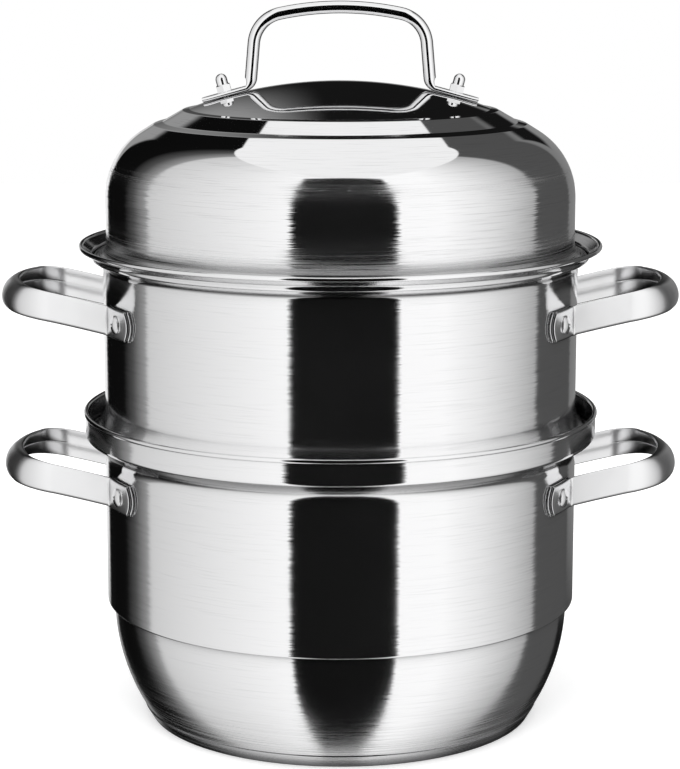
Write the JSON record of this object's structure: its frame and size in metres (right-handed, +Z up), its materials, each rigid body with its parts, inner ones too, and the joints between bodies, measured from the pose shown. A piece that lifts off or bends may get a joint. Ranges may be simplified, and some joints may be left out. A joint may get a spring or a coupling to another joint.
{
  "type": "steamer pot",
  "caption": "Stovetop steamer pot of polished sheet steel: deep pot with capsule base, loose perforated plate, steamer tier and domed lid, with riveted strap handles and a bent rod grip.",
  "frame": {"origin": "middle of the flat base, where the pot rests on the stove", "axes": "+Z up along the pot's axis, +X to the right through the side handles as the picture shows them, +Y to the back"},
  "size_m": [0.4008, 0.3076, 0.4249],
  "materials": {
    "brushed_shell": "polished stainless steel with fine brushing round the wall",
    "polished_trim": "mirror polished stainless steel",
    "core_aluminium": "plain rolled"
  },
  "bodies": {
    "pot": {"pot_shell": "brushed_shell", "base_core": "core_aluminium", "base_cap": "brushed_shell", "pot_handle_left": "polished_trim", "pot_handle_right": "polished_trim", "pot_backing_left_front": "polished_trim", "pot_backing_left_back": "polished_trim", "pot_backing_right_front": "polished_trim", "pot_backing_right_back": "polished_trim", "pot_rivet_left_front": "polished_trim", "pot_rivet_left_back": "polished_trim", "pot_rivet_right_front": "polished_trim", "pot_rivet_right_back": "polished_trim"},
    "plate": {"steam_plate": "brushed_shell"},
    "steamer": {"steamer_shell": "brushed_shell", "steamer_handle_left": "polished_trim", "steamer_handle_right": "polished_trim", "steamer_backing_left_front": "polished_trim", "steamer_backing_left_back": "polished_trim", "steamer_backing_right_front": "polished_trim", "steamer_backing_right_back": "polished_trim", "steamer_rivet_left_front": "polished_trim", "steamer_rivet_left_back": "polished_trim", "steamer_rivet_right_front": "polished_trim", "steamer_rivet_right_back": "polished_trim"},
    "lid": {"lid_shell": "brushed_shell", "lid_handle": "polished_trim", "lid_screw_left": "polished_trim", "lid_screw_right": "polished_trim", "lid_washer_left": "polished_trim", "lid_washer_right": "polished_trim", "lid_cap_nut_left": "polished_trim", "lid_cap_nut_right": "polished_trim"}
  },
  "joints": [
    {"name": "plate_lift", "type": "slide", "parent": "pot", "child": "plate", "axis": [0, 0, 1], "range_m": [0, 0.05]},
    {"name": "tier_lift", "type": "slide", "parent": "plate", "child": "steamer", "axis": [0, 0, 1], "range_m": [0, 0.1]},
    {"name": "lid_lift", "type": "slide", "parent": "steamer", "child": "lid", "axis": [0, 0, 1], "range_m": [0, 0.1]}
  ]
}
